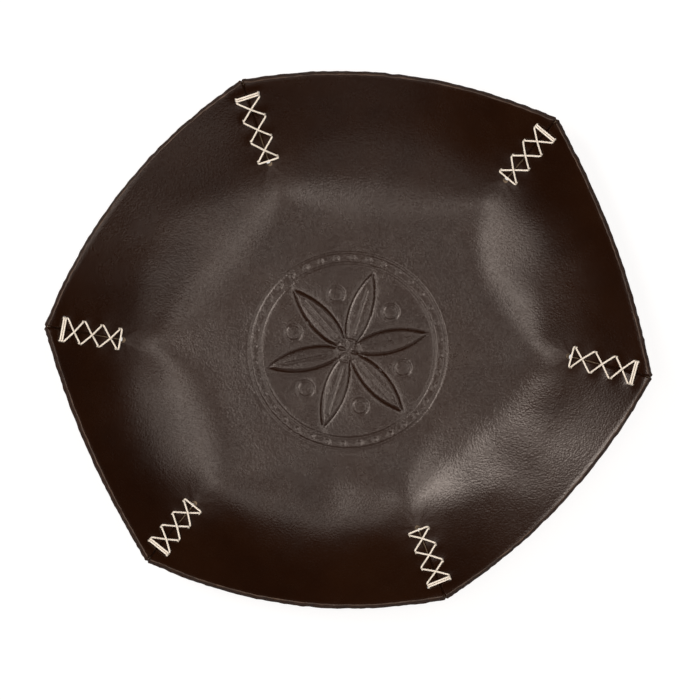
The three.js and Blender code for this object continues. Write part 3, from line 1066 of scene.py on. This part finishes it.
def thread_mesh(name, route, materials):
    builder = MeshBuilder()
    centres = softened(route)
    headings = unit(np.gradient(centres, axis=0))
    spoke = unit(np.cross(headings[0], FIRST_SPOKE_ASIDE))
    turns = 2 * math.pi * np.arange(THREAD_FACETS) / THREAD_FACETS
    plies = np.cos(PLY_COUNT * turns)
    radius = THREAD_DIAMETER / 2 * (1 - PLY_RELIEF + PLY_RELIEF * plies)[:, None]
    rings = []
    for number, (centre, heading) in enumerate(zip(centres, headings)):
        spoke = unit(spoke - heading * heading.dot(spoke))
        other = np.cross(heading, spoke)
        twist = 2 * math.pi * number * RING_STEP / PLY_PITCH
        twisted = (turns + twist)[:, None]
        rings.append(centre + radius * (np.cos(twisted) * spoke + np.sin(twisted) * other))
    ids = builder.add_points(np.array(rings))
    wrapped = np.concatenate((ids, ids[:, :1]), axis=1)
    builder.add_grid(wrapped, 0)
    builder.add_face(ids[0][::-1], 0)
    builder.add_face(ids[-1], 0)
    return builder.mesh(name, materials)


# Materials
Noise = namedtuple("Noise", "scale detail roughness")
NOISE_SPAN = (0.25, 0.75)  # which most values of the noise keep to


def new_material(name):
    material = bpy.data.materials.new(name)
    material.use_nodes = True
    tree = material.node_tree
    return material, tree, tree.nodes["Principled BSDF"]


def add_node(tree, kind, values=None, **settings):
    node = tree.nodes.new(kind)
    for key, value in settings.items():
        setattr(node, key, value)
    for key, value in (values or {}).items():
        node.inputs[key].default_value = value
    return node


def object_coordinates(tree):
    return add_node(tree, "ShaderNodeTexCoord").outputs["Object"]


def noise(tree, where, kind):
    values = {"Scale": kind.scale, "Detail": kind.detail, "Roughness": kind.roughness}
    node = add_node(tree, "ShaderNodeTexNoise", values)
    tree.links.new(where, node.inputs["Vector"])
    return node.outputs["Fac"]


def ramp(tree, factor, stops):
    node = add_node(tree, "ShaderNodeValToRGB")
    elements = node.color_ramp.elements
    while len(elements) < len(stops):
        elements.new(0.5)
    for element, (position, colour) in zip(elements, stops):
        element.position = position
        element.color = (*colour, 1)
    tree.links.new(factor, node.inputs["Fac"])
    return node.outputs["Color"]


def remap(tree, factor, span):
    values = dict(zip(("From Min", "From Max", "To Min", "To Max"), (*NOISE_SPAN, *span)))
    node = add_node(tree, "ShaderNodeMapRange", values)
    tree.links.new(factor, node.inputs["Value"])
    return node.outputs["Result"]


def bump(tree, height, strength, distance):
    node = add_node(tree, "ShaderNodeBump", {"Strength": strength, "Distance": distance})
    tree.links.new(height, node.inputs["Height"])
    return node.outputs["Normal"]


# Glossy grain side, dull where it is worked, with fine pores
GRAIN_MOTTLE = Noise(34, 5, 0.6)
GRAIN_SHADES = (
    (0.3, (0.011, 0.0031, 0.0007)),
    (0.5, (0.0138, 0.0041, 0.001)),
    (0.72, (0.0168, 0.0054, 0.0015)),
)
GRAIN_SMEARS = Noise(120, 5, 0.6)
GRAIN_ROUGHNESS = (0.24, 0.29)
WORKED_ROUGHNESS = 0.3
PORES = Noise(1350, 0, 0.5)
PORE_DEPTH = 0.047 * MM
PORE_SPECULAR = (0.27, 0.435)
GRAIN_TINT = (1, 0.965, 0.93, 1)


def grain_material():
    material, tree, shader = new_material("leather grain")
    where = object_coordinates(tree)
    shade = ramp(tree, noise(tree, where, GRAIN_MOTTLE), GRAIN_SHADES)
    tree.links.new(shade, shader.inputs["Base Color"])
    smears = remap(tree, noise(tree, where, GRAIN_SMEARS), GRAIN_ROUGHNESS)
    worked = add_node(tree, "ShaderNodeAttribute", attribute_name="worked")
    roughness = add_node(tree, "ShaderNodeMath", {1: WORKED_ROUGHNESS}, operation="MULTIPLY_ADD")
    tree.links.new(worked.outputs["Fac"], roughness.inputs[0])
    tree.links.new(smears, roughness.inputs[2])
    tree.links.new(roughness.outputs[0], shader.inputs["Roughness"])
    pores = noise(tree, where, PORES)
    tree.links.new(remap(tree, pores, PORE_SPECULAR), shader.inputs["Specular IOR Level"])
    shader.inputs["Specular Tint"].default_value = GRAIN_TINT
    tree.links.new(bump(tree, pores, 1.0, PORE_DEPTH), shader.inputs["Normal"])
    return material


# Dull finishes: a mottle between two shades, and for some a bump
Finish = namedtuple("Finish", "name mottle dark light roughness specular bump")
Bump = namedtuple("Bump", "noise strength distance")
# The arris's lighter shade is partly wear and partly a painted highlight, where the rounded grain
# edge would catch the lamps.
ARRIS_FINISH = Finish(
    name="leather arris wear and painted highlight",
    mottle=Noise(110, 4, 0.65),
    dark=(0.35, (0.018, 0.0085, 0.0045)),
    light=(0.65, (0.085, 0.051, 0.032)),
    roughness=0.5,
    specular=0.3,
    bump=None,
)
EDGE_FINISH = Finish(
    name="leather cut edge",
    mottle=Noise(500, 4, 0.7),
    dark=(0.3, (0.014, 0.0055, 0.0028)),
    light=(0.7, (0.04, 0.019, 0.0105)),
    roughness=0.7,
    specular=0.12,
    bump=Bump(Noise(1500, 5, 0.7), 0.7, 0.25 * MM),
)
RAW_FINISH = Finish(
    name="leather raw cut",
    mottle=Noise(1200, 4, 0.7),
    dark=(0.3, (0.21, 0.16, 0.11)),
    light=(0.7, (0.39, 0.31, 0.22)),
    roughness=0.85,
    specular=0.2,
    bump=None,
)
FLESH_FINISH = Finish(
    name="leather flesh side",
    mottle=Noise(260, 6, 0.75),
    dark=(0.3, (0.075, 0.038, 0.02)),
    light=(0.7, (0.14, 0.078, 0.042)),
    roughness=0.9,
    specular=0.15,
    bump=Bump(Noise(1800, 4, 0.7), 0.6, 0.2 * MM),
)
THREAD_FINISH = Finish(
    name="waxed thread",
    mottle=Noise(420, 3, 0.6),
    dark=(0.3, (0.82, 0.765, 0.66)),
    light=(0.7, (0.94, 0.9, 0.81)),
    roughness=0.6,
    specular=0.3,
    bump=Bump(Noise(5000, 3, 0.6), 0.4, 0.05 * MM),
)


def dull_material(finish):
    material, tree, shader = new_material(finish.name)
    where = object_coordinates(tree)
    shade = ramp(tree, noise(tree, where, finish.mottle), (finish.dark, finish.light))
    tree.links.new(shade, shader.inputs["Base Color"])
    shader.inputs["Roughness"].default_value = finish.roughness
    shader.inputs["Specular IOR Level"].default_value = finish.specular
    if finish.bump:
        height = noise(tree, where, finish.bump.noise)
        normal = bump(tree, height, finish.bump.strength, finish.bump.distance)
        tree.links.new(normal, shader.inputs["Normal"])
    return material


# Camera, lamps and floor
CAMERA_PLACE = (0.92 * MM, -2.73 * MM, 1.4)
CAMERA_LENS = 168
CAMERA_SENSOR = 36
CAMERA_FAR = 50


def add_camera():
    camera = bpy.data.cameras.new("camera")
    camera.lens = CAMERA_LENS
    camera.sensor_width = CAMERA_SENSOR
    camera.clip_end = CAMERA_FAR
    holder = bpy.data.objects.new("camera", camera)
    holder.location = CAMERA_PLACE
    bpy.context.scene.collection.objects.link(holder)
    bpy.context.scene.camera = holder


LAMP_DISTANCE = 1.6
LAMP_DIAMETER = 0.46
LAMP_COLOUR = (1.0, 0.9, 0.84)
Lamp = namedtuple("Lamp", "name azimuth tilt watts")
LAMPS = (
    Lamp("rear_left_key", 150, 34, 9.1),
    Lamp("left_high", 180, 16, 3.7),
    Lamp("front_left_high", 225, 16, 3.2),
    Lamp("rear_right_high", 45, 16, 3.0),
    Lamp("right", 0, 24, 2.8),
    Lamp("front_right_high", 315, 16, 2.3),
    Lamp("left", 180, 34, 1.7),
    Lamp("right_front", 330, 34, 1.7),
    Lamp("right_rear", 30, 34, 1.4),
    Lamp("rear", 90, 24, 1.3),
    Lamp("rear_left_low", 150, 46, 0.9),
    Lamp("front_right_low", 300, 46, 0.8),
    Lamp("front", 270, 34, 0.6),
    Lamp("front_low", 270, 58, 0.35),
)


def add_lamps():
    for lamp in LAMPS:
        light = bpy.data.lights.new(lamp.name, "AREA")
        light.shape = "DISK"
        light.size = LAMP_DIAMETER
        light.energy = lamp.watts
        light.color = LAMP_COLOUR
        holder = bpy.data.objects.new(lamp.name, light)
        tilt = math.radians(lamp.tilt)
        aside = polar(lamp.azimuth, LAMP_DISTANCE * math.sin(tilt))
        holder.location = (*aside, LAMP_DISTANCE * math.cos(tilt))
        holder.rotation_euler = (-holder.location).to_track_quat("-Z", "Y").to_euler()
        bpy.context.scene.collection.objects.link(holder)


WHITE = (1, 1, 1, 1)
WORLD_LEVEL = 0.015
FLOOR_REACH = 8.0
FLOOR_COLOUR = (0.8, 0.8, 0.8, 1)
FLOOR_SEEN_COLOUR = (0.22, 0.22, 0.22, 1)
FLOOR_SEEN_GLOW = 0.85


def add_world():
    world = bpy.data.worlds.new("studio")
    world.use_nodes = True
    background = world.node_tree.nodes["Background"]
    background.inputs["Strength"].default_value = WORLD_LEVEL
    background.inputs["Color"].default_value = WHITE
    bpy.context.scene.world = world


def floor_material():
    """Pale to all light, and white to the camera with a faint shadow."""
    material, tree, shader = new_material("studio floor")
    shader.inputs["Base Color"].default_value = FLOOR_COLOUR
    shader.inputs["Roughness"].default_value = 1.0
    shader.inputs["Specular IOR Level"].default_value = 0.0
    dull = add_node(tree, "ShaderNodeBsdfDiffuse", {"Color": FLOOR_SEEN_COLOUR})
    white = add_node(tree, "ShaderNodeEmission", {"Color": WHITE, "Strength": FLOOR_SEEN_GLOW})
    seen = add_node(tree, "ShaderNodeAddShader")
    tree.links.new(dull.outputs[0], seen.inputs[0])
    tree.links.new(white.outputs[0], seen.inputs[1])
    path = add_node(tree, "ShaderNodeLightPath")
    is_seen = path.outputs["Is Camera Ray"]
    for ray in ("Is Glossy Ray", "Is Transmission Ray"):
        either = add_node(tree, "ShaderNodeMath", operation="MAXIMUM")
        tree.links.new(is_seen, either.inputs[0])
        tree.links.new(path.outputs[ray], either.inputs[1])
        is_seen = either.outputs[0]
    mix = add_node(tree, "ShaderNodeMixShader")
    tree.links.new(is_seen, mix.inputs["Fac"])
    tree.links.new(shader.outputs[0], mix.inputs[1])
    tree.links.new(seen.outputs[0], mix.inputs[2])
    tree.links.new(mix.outputs[0], tree.nodes["Material Output"].inputs["Surface"])
    return material


def add_floor():
    reach = FLOOR_REACH
    corners = [(-reach, -reach, 0), (reach, -reach, 0), (reach, reach, 0), (-reach, reach, 0)]
    mesh = bpy.data.meshes.new("studio_floor")
    mesh.from_pydata(corners, [], [(0, 1, 2, 3)])
    mesh.materials.append(floor_material())
    link_object("studio_floor", mesh)


def add_pieces():
    finishes = (ARRIS_FINISH, EDGE_FINISH, RAW_FINISH, FLESH_FINISH)
    leather = leather_piece([grain_material(), *map(dull_material, finishes)])
    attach(leather, "root")
    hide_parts("leather_body")
    cream = dull_material(THREAD_FINISH)
    for number, corner in enumerate(CORNERS):
        name = f"lacing_{corner.name}"
        lacing = link_object(name, thread_mesh(name, thread_route(number), [cream]))
        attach(lacing, "root")
        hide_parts(f"thread_{corner.name}")


bpy.context.scene.view_settings.view_transform = "Standard"
add_camera()
add_world()
add_lamps()
add_floor()
add_pieces()
